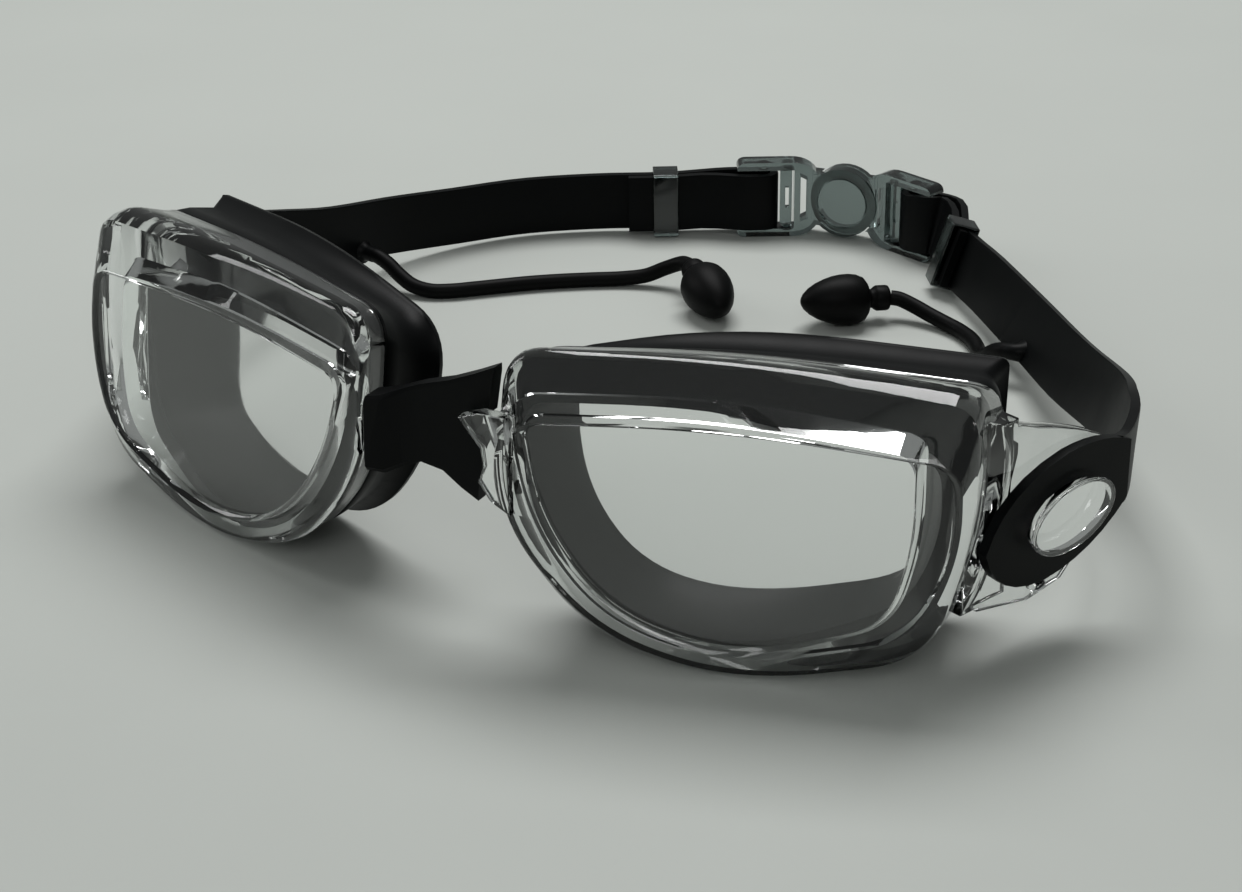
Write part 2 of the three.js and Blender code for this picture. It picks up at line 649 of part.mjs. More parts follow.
// ---------------------------------------------------------------- ear plugs and their cords
// Each cord leaves the head side of its strap, drops to the table and runs to its plug.
const LEFT_CORD = [
  [45.8, 115, 6.3], [43.6, 115.4, 6], [41.6, 116.4, 5], [39.7, 117.8, 3.3], [38.1, 119.5, 2.1],
  [36.6, 121.5, 1.6], [34.9, 124.2, 1.55],
  [33.7, 125.7, 1.55], [32.3, 127.1, 1.55], [29, 129.5, 1.55], [25.4, 131, 1.8], [21.8, 131.9, 2.4],
  [18.4, 132.4, 3.3], [15.2, 132.3, 4.2], [13.6, 131.7, 4.4],
];
const RIGHT_CORD = [
  [-87, 98.6, 6.4], [-84.6, 98.4, 6.2], [-81.8, 98, 5.2], [-78.8, 97.4, 3.6], [-75.4, 97, 2.2],
  [-71.6, 97.6, 1.6], [-68, 99.6, 1.55], [-64.4, 102.8, 1.55], [-60.6, 106.4, 1.55], [-56, 110.6, 1.55],
  [-51.3, 114.3, 1.55], [-46, 118, 1.55], [-40.6, 121.2, 1.7], [-36.4, 123.2, 2.4],
  [-32.6, 124.8, 4.2], [-29, 125.1, 5.8], [-26, 123.4, 6.3],
];
const LEFT_PLUG = { back: vec(13.2, 131.3, 4.5), nose: vec(-0.1, 118.4, 5.7) };
const RIGHT_PLUG = { back: vec(-25.5, 122.75, 6.2), nose: vec(-12.1, 110.5, 4.2) };
const PLUG_PROFILE = [
  [0, 0], [2, 0], [2.5, 0.5], [2.5, 2.6], [1.9, 3.4], [1.9, 4.2], [3.6, 4.9], [4.8, 6.6], [5, 8.6],
  [4.7, 11], [3.9, 13.6], [2.7, 15.8], [1.3, 17.4], [0, 17.9],
];

function plugCord(points) {
  const path = new THREE.CatmullRomCurve3(points.map(([x, y, z]) => vec(x, y, z)), false, 'centripetal');
  const section = new THREE.Shape(Array.from({ length: CORD_SIDES }, (_, i) => {
    const angle = ((i + 0.5) / CORD_SIDES) * Math.PI * 2;
    return new THREE.Vector2(Math.cos(angle) * CORD_RADIUS, Math.sin(angle) * CORD_RADIUS);
  }));
  return welded(new THREE.ExtrudeGeometry(section, { steps: 30, extrudePath: path, bevelEnabled: false }));
}

function earPlug({ back, nose }) {
  const profile = flat(PLUG_PROFILE);
  const geometry = welded(new THREE.LatheGeometry(profile, 20));
  const along = nose.clone().sub(back).normalize();
  const turn = new THREE.Quaternion().setFromUnitVectors(vec(0, 1, 0), along);
  return geometry.applyQuaternion(turn).translate(back.x, back.y, back.z);
}

// ---------------------------------------------------------------- assembly
const goggles = new THREE.Group();
goggles.position.copy(ORIGIN_SHIFT);
goggles.add(
  piece('lens_shell_left', lensShell(1), CLEAR()),
  piece('lens_shell_right', lensShell(-1), CLEAR()),
  piece('face_gasket_left', faceGasket(), BLACK_SILICONE()),
  piece('face_gasket_right', mirrored(faceGasket()), BLACK_SILICONE()),
  piece('nose_bridge', noseBridge(), BLACK_SILICONE()),
  piece('head_strap_left', headStrap(1), BLACK_SILICONE()),
  piece('head_strap_right', headStrap(-1), BLACK_SILICONE()),
  piece('clasp_stud_half', claspHalf(1), SMOKE_PLASTIC()),
  piece('clasp_ring_half', claspHalf(-1), SMOKE_PLASTIC()),
  piece('strap_lock_left', strapLock(1), SMOKE_PLASTIC()),
  piece('strap_lock_right', strapLock(-1), SMOKE_PLASTIC()),
  piece('strap_keeper_left', strapKeeper(1), SMOKE_PLASTIC()),
  piece('strap_keeper_right', strapKeeper(-1), SMOKE_PLASTIC()),
  piece('plug_cord_left', plugCord(LEFT_CORD), PLUG_SILICONE()),
  piece('plug_cord_right', plugCord(RIGHT_CORD), PLUG_SILICONE()),
  piece('ear_plug_left', earPlug(LEFT_PLUG), PLUG_SILICONE()),
  piece('ear_plug_right', earPlug(RIGHT_PLUG), PLUG_SILICONE()),
);

export default goggles;
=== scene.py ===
"""Swimming goggles with corded ear plugs, standing on a pale table.

Lengths are in millimetres unless a name says metres. Blender's own units are metres.
"""
import math

import bmesh
import bpy
from bpy.props import FloatProperty, FloatVectorProperty, PointerProperty
from mathutils import Matrix, Vector


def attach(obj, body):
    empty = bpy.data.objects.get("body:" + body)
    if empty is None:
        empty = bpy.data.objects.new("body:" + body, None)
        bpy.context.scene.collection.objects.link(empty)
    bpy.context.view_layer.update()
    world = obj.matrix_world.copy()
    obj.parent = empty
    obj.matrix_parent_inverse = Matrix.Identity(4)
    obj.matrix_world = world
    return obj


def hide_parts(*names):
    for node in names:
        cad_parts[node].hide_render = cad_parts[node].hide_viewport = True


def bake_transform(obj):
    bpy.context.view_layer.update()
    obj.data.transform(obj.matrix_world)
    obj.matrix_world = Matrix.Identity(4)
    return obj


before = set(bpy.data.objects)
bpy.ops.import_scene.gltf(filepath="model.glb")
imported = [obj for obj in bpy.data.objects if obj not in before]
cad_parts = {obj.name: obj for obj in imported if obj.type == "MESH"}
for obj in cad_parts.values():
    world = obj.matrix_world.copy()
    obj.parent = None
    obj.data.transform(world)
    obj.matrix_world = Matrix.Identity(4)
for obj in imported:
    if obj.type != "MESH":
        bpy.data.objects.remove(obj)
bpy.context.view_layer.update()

bl_info = {
    "name": "Swimming Goggles",
    "version": (1, 0, 0),
    "blender": (4, 5, 0),
    "location": "3D View > Sidebar > Goggles",
    "description": "Clear swimming goggles with silicone gaskets, a hub clasp and corded ear plugs",
    "category": "Add Mesh",
}

SIDES = {"left": 1, "right": -1}
GAP = 0.3
ORIGIN_SHIFT = Vector((0, -79.5, 0))

# ---------------------------------------------------------------- eyecup shape
CUP_FRAME = (
    Matrix.Translation((46, -1, 24))
    @ Matrix.Rotation(math.radians(15.7), 4, "Z")
    @ Matrix.Rotation(math.radians(-7.9), 4, "X")
)
WALL = 1.1
FLANGE_DEEP = 2
LIP_FLARE = 1.6
LIP_THICK = 1.2

# Corners of each loop as (across to the temple, up, back from the pane, rounding).
# Order: nose top, top middle, temple top, temple middle, temple bottom, bottom, nose bottom, nose middle.
PANE_EDGE = (
    (-30.5, 13.2, 0, 4), (0, 15.2, 0, 18), (33.6, 12.9, 0, 4), (34, 0, 0, 9),
    (28.5, -13.5, 0, 8), (3, -20, 0, 12), (-16.5, -14.8, 0, 9), (-27, -1.5, 0, 10),
)
RIM_EDGE = (
    (-33, 24, 2, 6), (0, 25.4, 2, 18), (37, 23, 6, 5), (37.5, 4, 6, 9),
    (32, -18, 4.5, 9), (3, -24.8, 2.5, 14), (-19.5, -19.3, 1.8, 10), (-34.6, -1.5, 1.5, 10),
)
FLANGE_EDGE = (
    (-32, 23, 6, 6), (0, 25, 7.5, 18), (38.5, 21, 14.5, 5), (39.5, 3, 16.5, 9),
    (33.5, -17, 13.5, 9), (3, -23.8, 7.5, 14), (-19.5, -18.5, 5.6, 10), (-33.5, -1.5, 5, 10),
)
SKIRT_EDGE = (
    (-30.4, 15.4, 3.6, 4), (0, 17.4, 3.9, 18), (31.2, 11.8, 9, 4), (32.2, 0, 11.5, 9),
    (27, -12.2, 9.5, 8), (3, -20.2, 4.2, 12), (-16.3, -15.5, 3.7, 9), (-28, -1.4, 3.6, 10),
)
APERTURE = (
    (-27, 12.6, 14, 6), (0, 15, 14.5, 18), (29, 13, 22, 6), (30, 0, 25, 9),
    (26, -12.8, 21, 9), (2, -18.7, 14.5, 12), (-15.6, -14.9, 14, 10), (-24, -2, 14, 10),
)
LIP_EDGE = (
    (-31, 17.8, 19.5, 8), (-2, 24, 19.5, 18), (36.6, 20.8, 28, 1.5), (36, -2, 30.5, 10),
    (30.5, -16.8, 26.5, 10), (2, -20, 19.5, 14), (-19, -16.6, 18.5, 10), (-30, -1.5, 18.5, 10),
)
LIP_INNER = (
    (-26.5, 13, 18.5, 6), (0, 17.4, 19, 18), (31, 14.4, 27, 5), (31.5, 0, 29.5, 9),
    (27, -12.8, 25.5, 9), (2, -16.6, 18.5, 12), (-14.5, -13.6, 17.5, 10), (-24, -2, 17.5, 10),
)
# The cavity's corner behind the pane, and the ledge that ends its thick temple side.
CAVITY_FRONT = (
    (-30.6, 14.2, 2.2, 4), (0, 16.2, 2.2, 18), (28.2, 13.4, 2.2, 3), (28.6, 0, 2.2, 9),
    (25.2, -12.8, 2.2, 6), (3, -20.2, 2.2, 12), (-16.6, -15.2, 2.2, 9), (-27.6, -1.5, 2.2, 10),
)
CAVITY_LEDGE = (
    (-31.6, 17, 3, 4), (0, 19, 3.3, 18), (28.8, 15, 7.8, 3), (29.2, 0, 8.4, 9),
    (25.8, -13.4, 7, 6), (3, -21.4, 3.5, 12), (-17.4, -16.6, 3, 9), (-29.6, -1.5, 2.9, 10),
)

# ---------------------------------------------------------------- temple wing and nose hook
WING_FRAME = Matrix.Translation((84.8, 33.4, 21.5)) @ Matrix.Rotation(math.radians(71), 4, "Z")
WING_THICK = 2.4
BOSS_LONG = 8.4
BOSS_HIGH = 4.6
BOSS_OUT = 3.2
BOSS_CAP = 0.8
BOSS_CAP_THICK = 0.9
BOSS_SLANT = math.radians(6)

# ---------------------------------------------------------------- ear plug cords
CORD_DIAMETER = 3
# Where the middle of each root ends, inside its strap.
CORD_ROOT_ENDS = {"left": (47.8, 116.7, 6), "right": (-88.2, 98.7, 6.4)}
# Routes on the table, from the strap to the plug.
CORD_ROUTES = {
    "left": (
        (45.8, 115, 6.3), (43.6, 115.4, 6), (41.6, 116.4, 5), (39.7, 117.8, 3.3), (38.1, 119.5, 2.1),
        (36.6, 121.5, 1.6), (34.9, 124.2, 1.55), (33.7, 125.7, 1.55), (32.3, 127.1, 1.55), (29, 129.5, 1.55),
        (25.4, 131, 1.8), (21.8, 131.9, 2.4), (18.4, 132.4, 3.3), (15.2, 132.3, 4.2), (13.6, 131.7, 4.4),
    ),
    "right": (
        (-87, 98.6, 6.4), (-84.6, 98.4, 6.2), (-81.8, 98, 5.2), (-78.8, 97.4, 3.6), (-75.4, 97, 2.2),
        (-71.6, 97.6, 1.6), (-68, 99.6, 1.55), (-64.4, 102.8, 1.55), (-60.6, 106.4, 1.55), (-56, 110.6, 1.55),
        (-51.3, 114.3, 1.55), (-46, 118, 1.55), (-40.6, 121.2, 1.7), (-36.4, 123.2, 2.4),
        (-32.6, 124.8, 4.2), (-29, 125.1, 5.8), (-26, 123.4, 6.3),
    ),
}
PLUG_ENDS = {
    "left": (Vector((13.2, 131.3, 4.5)), Vector((-0.1, 118.4, 5.7))),
    "right": (Vector((-25.5, 122.75, 6.2)), Vector((-12.1, 110.5, 4.2))),
}
# Half profile of a plug as (radius, distance from its cord end): collar, neck, bell and rounded tip.
PLUG_PROFILE = (
    (0, 0), (2, 0), (2.4, 0.2), (2.5, 0.6), (2.5, 2.4), (2.3, 2.8), (1.9, 3.3), (1.8, 3.8), (2.1, 4.3),
    (3.4, 4.7), (4.3, 5.4), (4.8, 6.6), (5, 8.2), (4.95, 9.6), (4.7, 11.2), (4.2, 12.9), (3.5, 14.6), (2.6, 16.1),
    (1.6, 17.2), (0.8, 17.7), (0, 17.9),
)


# ---------------------------------------------------------------- colours and nodes
def linear(hex_colour):
    """sRGB hex colour as linear red, green, blue."""
    channels = [int(hex_colour[i:i + 2], 16) / 255 for i in (1, 3, 5)]
    return tuple(c / 12.92 if c <= 0.04045 else ((c + 0.055) / 1.055) ** 2.4 for c in channels)


def add(tree, kind, values=None, links=None, **settings):
    """Adds a node with its settings, socket values and incoming links."""
    made = tree.nodes.new(kind)
    for name, value in settings.items():
        setattr(made, name, value)
    for socket, value in (values or {}).items():
        made.inputs[socket].default_value = value
    for socket, source in (links or {}).items():
        tree.links.new(source, made.inputs[socket])
    return made


def per_metre(size_mm):
    """Texture scale that repeats about once every size_mm."""
    return 1000 / size_mm


def fresh_material(name):
    material = bpy.data.materials.new(name)
    material.use_nodes = True
    material.node_tree.nodes.clear()
    return material, material.node_tree


def moulded_silicone(name, colour, worn, roughness):
    """Liquid silicone rubber from a fine spark-eroded mould: deep black, satin, with a soft grain.

    The specular level is lowered, for a deeper black than bare silicone gives.
    """
    material, tree = fresh_material(name)
    at = add(tree, "ShaderNodeTexCoord").outputs["Object"]
    cloudy = add(tree, "ShaderNodeTexNoise", {"Scale": per_metre(9), "Detail": 3}, {"Vector": at})
    grain = add(tree, "ShaderNodeTexNoise", {"Scale": per_metre(0.35), "Detail": 2}, {"Vector": at})
    tint = add(
        tree, "ShaderNodeMix", {"A": (*colour, 1), "B": (*worn, 1)},
        {"Factor": cloudy.outputs["Fac"]}, data_type="RGBA",
    )
    sheen_map = add(
        tree, "ShaderNodeMapRange", {"To Min": roughness - 0.07, "To Max": roughness + 0.09},
        {"Value": cloudy.outputs["Fac"]},
    )
    relief = add(
        tree, "ShaderNodeBump", {"Strength": 0.25, "Distance": 0.00005}, {"Height": grain.outputs["Fac"]},
    )
    surface = add(
        tree, "ShaderNodeBsdfPrincipled", {"IOR": 1.41, "Specular IOR Level": 0.12},
        {
            "Base Color": tint.outputs["Result"],
            "Roughness": sheen_map.outputs["Result"],
            "Normal": relief.outputs["Normal"],
        },
    )
    add(tree, "ShaderNodeOutputMaterial", links={"Surface": surface.outputs["BSDF"]})
    return material


def moulded_polycarbonate(name, colour, roughness, waviness):
    """Injection-moulded polycarbonate from a polished mould: glassy, with faint flow waves.

    The specular level is lowered from bare polycarbonate's, so that the black behind stays dark.
    """
    material, tree = fresh_material(name)
    at = add(tree, "ShaderNodeTexCoord").outputs["Object"]
    flow = add(
        tree, "ShaderNodeTexNoise", {"Scale": per_metre(12), "Detail": 1.5, "Distortion": 0.4}, {"Vector": at},
    )
    dust = add(tree, "ShaderNodeTexNoise", {"Scale": per_metre(1.2), "Detail": 4}, {"Vector": at})
    haze = add(
        tree, "ShaderNodeMapRange",
        {"From Min": 0.45, "From Max": 0.8, "To Min": roughness, "To Max": roughness + 0.06},
        {"Value": dust.outputs["Fac"]},
    )
    relief = add(
        tree, "ShaderNodeBump", {"Strength": waviness, "Distance": 0.0002}, {"Height": flow.outputs["Fac"]},
    )
    surface = add(
        tree, "ShaderNodeBsdfPrincipled",
        {"Base Color": (*colour, 1), "IOR": 1.585, "Specular IOR Level": 0.2, "Transmission Weight": 1},
        {"Roughness": haze.outputs["Result"], "Normal": relief.outputs["Normal"]},
    )
    add(tree, "ShaderNodeOutputMaterial", links={"Surface": surface.outputs["BSDF"]})
    return material


def painted_table(name, colour):
    """Matt painted board: pale, with a barely visible roller mottle."""
    material, tree = fresh_material(name)
    at = add(tree, "ShaderNodeTexCoord").outputs["Object"]
    mottle = add(tree, "ShaderNodeTexNoise", {"Scale": per_metre(60), "Detail": 4}, {"Vector": at})
    darker = tuple(c * 0.94 for c in colour)
    tint = add(
        tree, "ShaderNodeMix", {"A": (*darker, 1), "B": (*colour, 1)},
        {"Factor": mottle.outputs["Fac"]}, data_type="RGBA",
    )
    surface = add(
        tree, "ShaderNodeBsdfPrincipled", {"Roughness": 0.6}, {"Base Color": tint.outputs["Result"]},
    )
    add(tree, "ShaderNodeOutputMaterial", links={"Surface": surface.outputs["BSDF"]})
    return material


def material_of(kind):
    """The scene's finish of that kind, made the first time it is asked for."""
    colours = bpy.context.scene.goggles_colours
    sizes = bpy.context.scene.goggles_finishes
    makers = {
        "clear_polycarbonate_polished": lambda name: moulded_polycarbonate(
            name, colours.shell, sizes.shell_roughness, 0.05),
        "smoke_polycarbonate_moulded": lambda name: moulded_polycarbonate(
            name, colours.clasp, sizes.clasp_roughness, 0.2),
        "black_silicone_satin": lambda name: moulded_silicone(
            name, colours.silicone, colours.silicone_worn, sizes.silicone_roughness),
        "plug_silicone_satin": lambda name: moulded_silicone(
            name, colours.plug, colours.silicone, sizes.silicone_roughness + 0.06),
    }
    return bpy.data.materials.get(kind) or makers[kind](kind)


# ---------------------------------------------------------------- shape helpers
def in_metres(points):
    return [(Vector(p) + ORIGIN_SHIFT) * 0.001 for p in points]


def laid_in_metres(bm, side=1, placed=Matrix.Identity(4)):
    """Puts a millimetre mesh into its frame, mirrors it for the right side, and turns it into metres."""
    bm.transform(placed)
    if side < 0:
        bm.transform(Matrix.Diagonal((-1, 1, 1, 1)))
    bm.transform(Matrix.Diagonal((0.001, 0.001, 0.001, 1)) @ Matrix.Translation(ORIGIN_SHIFT))
    bmesh.ops.recalc_face_normals(bm, faces=bm.faces)


def ring_of(loop, steps):
    """Smooth closed ring of points from a loop's corners: x across, y back, z up."""
    corners = [Vector((across, back, up)) for across, up, back, _ in loop]

    def towards(corner, neighbour, reach):
        share = min(reach / (corner - neighbour).length, 0.49)
        return corner.lerp(neighbour, share)

    points = []
    for i, corner in enumerate(corners):
        rounding = loop[i][3]
        start = towards(corner, corners[i - 1], rounding)
        end = towards(corner, corners[(i + 1) % len(corners)], rounding)
        for step in range(steps + 1):
            t = step / steps
            points.append(start.lerp(corner, t).lerp(corner.lerp(end, t), t))
    return points


def between(a, b, share, depth_share=None):
    depth = share if depth_share is None else depth_share
    shares = (share, share, depth, share)
    return tuple(tuple(p + (q - p) * s for p, q, s in zip(one, other, shares)) for one, other in zip(a, b))


def grown(loop, outwards, back=0):
    """A loop grown outwards in its own plane, and moved back."""
    result = []
    for across, up, depth, rounding in loop:
        share = 1 + outwards / math.hypot(across, up)
        result.append((across * share, up * share, depth + back, rounding))
    return tuple(result)


def loft(rings, joined=False):
    """Closed surface through rings of equally many points: a torus when joined, else capped at both ends."""
    bm = bmesh.new()
    rows = [[bm.verts.new(p) for p in ring] for ring in rings]
    count = len(rows[0])
    pairs = zip(rows, rows[1:] + rows[:1]) if joined else zip(rows, rows[1:])
    for here, after in pairs:
        for i in range(count):
            j = (i + 1) % count
            bm.faces.new((here[i], here[j], after[j], after[i]))
    if not joined:
        bm.faces.new(rows[0])
        bm.faces.new(rows[-1])
    return bm


def plate(outlines, near, far, edge):
    """Plate in the X-Z plane between two depths, outline first and then its holes, with rounded edges."""
    curve = bpy.data.curves.new("outline", "CURVE")
    curve.dimensions = "2D"
    curve.fill_mode = "BOTH"
    curve.extrude = (far - near) / 2 - edge
    curve.bevel_depth = edge
    curve.bevel_resolution = 2
    curve.offset = -edge
    for outline in outlines:
        spline = curve.splines.new("POLY")
        spline.points.add(len(outline) - 1)
        for point, (x, y) in zip(spline.points, outline):
            point.co = (x, y, 0, 1)
        spline.use_cyclic_u = True
    shape = bpy.data.objects.new("outline", curve)
    bpy.context.collection.objects.link(shape)
    mesh = bpy.data.meshes.new_from_object(shape.evaluated_get(bpy.context.evaluated_depsgraph_get()))
    bpy.data.objects.remove(shape)
    bpy.data.curves.remove(curve)
    bm = bmesh.new()
    bm.from_mesh(mesh)
    bpy.data.meshes.remove(mesh)
    bmesh.ops.remove_doubles(bm, verts=bm.verts, dist=1e-4)
    bm.transform(Matrix.Translation((0, (near + far) / 2, 0)) @ Matrix.Rotation(math.pi / 2, 4, "X"))
    return bm


def block(x, y, z, edge):
    """Moulded block with rounded edges between two corners."""
    outline = ((x[0], z[0]), (x[1], z[0]), (x[1], z[1]), (x[0], z[1]))
    return plate([outline], y[0], y[1], edge)


def oval(half_long, half_high, slant=0.0, steps=48):
    points = []
    for i in range(steps):
        angle = 2 * math.pi * i / steps
        along, up = half_long * math.cos(angle), half_high * math.sin(angle)
        points.append((
            along * math.cos(slant) - up * math.sin(slant),
            along * math.sin(slant) + up * math.cos(slant),
        ))
    return points


def bowed(start, control, end, steps=8):
    """Points of a quadratic curve, without its first."""
    start, control, end = Vector(start), Vector(control), Vector(end)
    curve = []
    for i in range(1, steps + 1):
        t = i / steps
        curve.append(tuple(start.lerp(control, t).lerp(control.lerp(end, t), t)))
    return curve


def finished(bm, name):
    """Turns a bmesh into a mesh object linked to the scene."""
    mesh = bpy.data.meshes.new(name)
    bm.to_mesh(mesh)
    bm.free()
    made = bpy.data.objects.new(name, mesh)
    bpy.context.collection.objects.link(made)
    return made


def applied(made):
    """Bakes an object's modifiers into its mesh."""
    mesh = bpy.data.meshes.new_from_object(made.evaluated_get(bpy.context.evaluated_depsgraph_get()))
    made.modifiers.clear()
    spare = made.data
    made.data = mesh
    bpy.data.meshes.remove(spare)
    return made


def fused(name, solids, cutters=()):
    """One body from several solids, less the cutters."""
    made = finished(solids[0], name)
    tools = []
    for operation, group in (("UNION", solids[1:]), ("DIFFERENCE", cutters)):
        for bm in group:
            tool = finished(bm, "tool")
            change = made.modifiers.new(operation, "BOOLEAN")
            change.operation = operation
            change.solver = "EXACT"
            change.object = tool
            tools.append(tool)
    applied(made)
    for tool in tools:
        mesh = tool.data
        bpy.data.objects.remove(tool)
        bpy.data.meshes.remove(mesh)
    return made


def unlinked(made):
    """Takes an object's mesh back out of the scene, as a bmesh."""
    bm = bmesh.new()
    bm.from_mesh(made.data)
    mesh = made.data
    bpy.data.objects.remove(made)
    bpy.data.meshes.remove(mesh)
    return bm


def shaded(made, angle=35):
    """Smooth shading that keeps the creases sharper than the angle."""
    made.data.shade_smooth()
    made.data.set_sharp_from_angle(angle=math.radians(angle))
    return made


def dressed(made, kind, slot, body, *nodes):
    """Gives a piece its finish and body, and hides the solids that it stands for."""
    made.data.materials.clear()
    made.data.materials.append(material_of(kind))
    if body:
        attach(made, body)
    if nodes:
        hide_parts(*nodes)
    return made


def node_copy(node):
    """A node's own surface, welded and with its flat faces whole."""
    bm = bmesh.new()
    bm.from_mesh(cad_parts[node].data)
    bmesh.ops.remove_doubles(bm, verts=bm.verts, dist=2e-6)
    bmesh.ops.dissolve_limit(
        bm, angle_limit=math.radians(0.6), verts=bm.verts, edges=bm.edges, delimit={"NORMAL"},
    )
    return bm


def softened(made, edge, segments=3):
    """Rounds a piece's edges by so many millimetres and smooths its shading."""
    bevel = made.modifiers.new("edge", "BEVEL")
    bevel.width = edge * 0.001
    bevel.segments = segments
    bevel.limit_method = "ANGLE"
    bevel.angle_limit = math.radians(32)
    bevel.use_clamp_overlap = True
    weighted = made.modifiers.new("normals", "WEIGHTED_NORMAL")
    weighted.keep_sharp = True
    made.data.shade_smooth()
    return applied(made)


# ---------------------------------------------------------------- pieces
def shell_cup(side):
    """Pane, sloping rim with its raised border bead, flange, and the cavity behind."""
    loops = (
        PANE_EDGE,
        grown(PANE_EDGE, 0.5, -0.4),
        grown(PANE_EDGE, 1, -0.5),
        grown(PANE_EDGE, 1.5, -0.35),
        between(PANE_EDGE, RIM_EDGE, 0.86, 0.3),
        between(PANE_EDGE, RIM_EDGE, 0.95, 0.6),
        RIM_EDGE,
        grown(RIM_EDGE, 0.1, 1.4),
        FLANGE_EDGE,
        grown(FLANGE_EDGE, -0.2, FLANGE_DEEP - 0.2),
        grown(FLANGE_EDGE, -0.5, FLANGE_DEEP),
        grown(FLANGE_EDGE, -WALL, FLANGE_DEEP),
        grown(between(RIM_EDGE, FLANGE_EDGE, 0.3), -WALL, WALL),
        grown(CAVITY_LEDGE, 0.3),
        grown(CAVITY_LEDGE, 0, -0.3),
        grown(CAVITY_FRONT, 0, 0.4),
        grown(CAVITY_FRONT, -0.3),
    )
    bm = loft([ring_of(loop, 10) for loop in loops])
    laid_in_metres(bm, side, CUP_FRAME)
    return bm


def gasket_room(side):
    """The space that the gasket and its lip take up, with clearance."""
    loops = (
        grown(RIM_EDGE, -WALL, WALL),
        grown(FLANGE_EDGE, -WALL, FLANGE_DEEP),
        grown(FLANGE_EDGE, 0.1, FLANGE_DEEP),
        grown(between(FLANGE_EDGE, LIP_EDGE, 0.35), 0.3, 0.6),
        grown(between(FLANGE_EDGE, LIP_EDGE, 0.7), -0.4, 0.6),
        grown(LIP_EDGE, LIP_FLARE + 0.5),
        grown(LIP_EDGE, LIP_FLARE + 0.5, LIP_THICK + 1),
    )
    bm = loft([ring_of(loop, 4) for loop in loops])
    laid_in_metres(bm, side, CUP_FRAME)
    return bm


def temple_wing(side):
    """Wing behind the cup with the oval strap boss, its cap and the small lug."""
    outline = [(-16.5, 19.4), (-5, 15.2)]
    outline += bowed((-5, 15.2), (5, 12), (11, 8.4))
    outline += bowed((11, 8.4), (13, -1), (8, -8))
    outline += [(2.5, -13), (-5, -14), (-16.5, -11.6)]
    lug_hole = [(x - 3, y - 11.8) for x, y in oval(1.7, 1, steps=24)]
    parts = [
        plate([outline, lug_hole], 0, WING_THICK, 0.35),
        block((-20, -9.5), (0.02, 3.8), (-11, 18), 0.3),
        plate([oval(BOSS_LONG, BOSS_HIGH, BOSS_SLANT)], -BOSS_OUT, 0.6, 0.1),
        plate([oval(BOSS_LONG + BOSS_CAP, BOSS_HIGH + BOSS_CAP, BOSS_SLANT)],
              -BOSS_OUT - BOSS_CAP_THICK, -BOSS_OUT + 0.05, 0.3),
    ]
    for bm in parts:
        laid_in_metres(bm, side, WING_FRAME)
    return parts


def nose_fixing(side):
    """Left: pointed hook with its root and peg. Right: the tongue for the bridge's socket."""
    if side < 0:
        parts = [block((-15, -7.8), (-7.1, -5.5), (25.5, 33.5), 0.2)]
    else:
        hook = [
            (16, 23), (15.6, 39), (11, 38.8), (7.4, 37.4),
            (11.2, 33), (11.6, 30), (10.6, 27.4), (12.6, 24.6),
        ]
        parts = [
            plate([hook], -10.4, -8, 0.3),
            block((13, 16), (-8.2, -6), (26, 38.4), 0.2),
            block((9.2, 11.4), (-8.2, -3.4), (34.6, 37.2), 0.2),
        ]
    for bm in parts:
        laid_in_metres(bm)
    return parts


def lens_shell(name):
    side = SIDES[name]
    wing = fused("wing", temple_wing(side), [gasket_room(side)])
    solids = [shell_cup(side), unlinked(wing), *nose_fixing(side)]
    made = fused(f"clear_shell_{name}", solids)
    body = "left_eyecup" if side > 0 else "goggles"
    return dressed(
        shaded(made, 30), "clear_polycarbonate_polished", "clear_polycarbonate", body, f"lens_shell_{name}",
    )


def face_gasket(name):
    """Skirt inside the shell, full body behind the flange and the flared lip that seals on the face."""
    loops = (
        SKIRT_EDGE,
        grown(SKIRT_EDGE, 0.9, 0.2),
        grown(between(RIM_EDGE, FLANGE_EDGE, 0.3), -WALL - 0.4, WALL + 0.6),
        grown(FLANGE_EDGE, -WALL - 0.4, FLANGE_DEEP + GAP),
        grown(FLANGE_EDGE, -0.6, FLANGE_DEEP + GAP),
        grown(FLANGE_EDGE, -0.4, FLANGE_DEEP + GAP + 0.3),
        grown(between(FLANGE_EDGE, LIP_EDGE, 0.35), -0.2, 0.6),
        grown(between(FLANGE_EDGE, LIP_EDGE, 0.7), -1, 0.6),
        grown(LIP_EDGE, LIP_FLARE - 0.3, -0.3),
        grown(LIP_EDGE, LIP_FLARE),
        grown(LIP_EDGE, LIP_FLARE - 0.2, LIP_THICK * 0.7),
        grown(LIP_EDGE, LIP_FLARE - 0.7, LIP_THICK),
        grown(LIP_EDGE, -2.4, 0.8),
        LIP_INNER,
        APERTURE,
    )
    bm = loft([ring_of(loop, 8) for loop in loops], joined=True)
    side = SIDES[name]
    laid_in_metres(bm, side, CUP_FRAME)
    made = shaded(finished(bm, f"silicone_gasket_{name}"), 50)
    body = "left_eyecup" if side > 0 else "goggles"
    return dressed(made, "black_silicone_satin", "black_silicone", body, f"face_gasket_{name}")


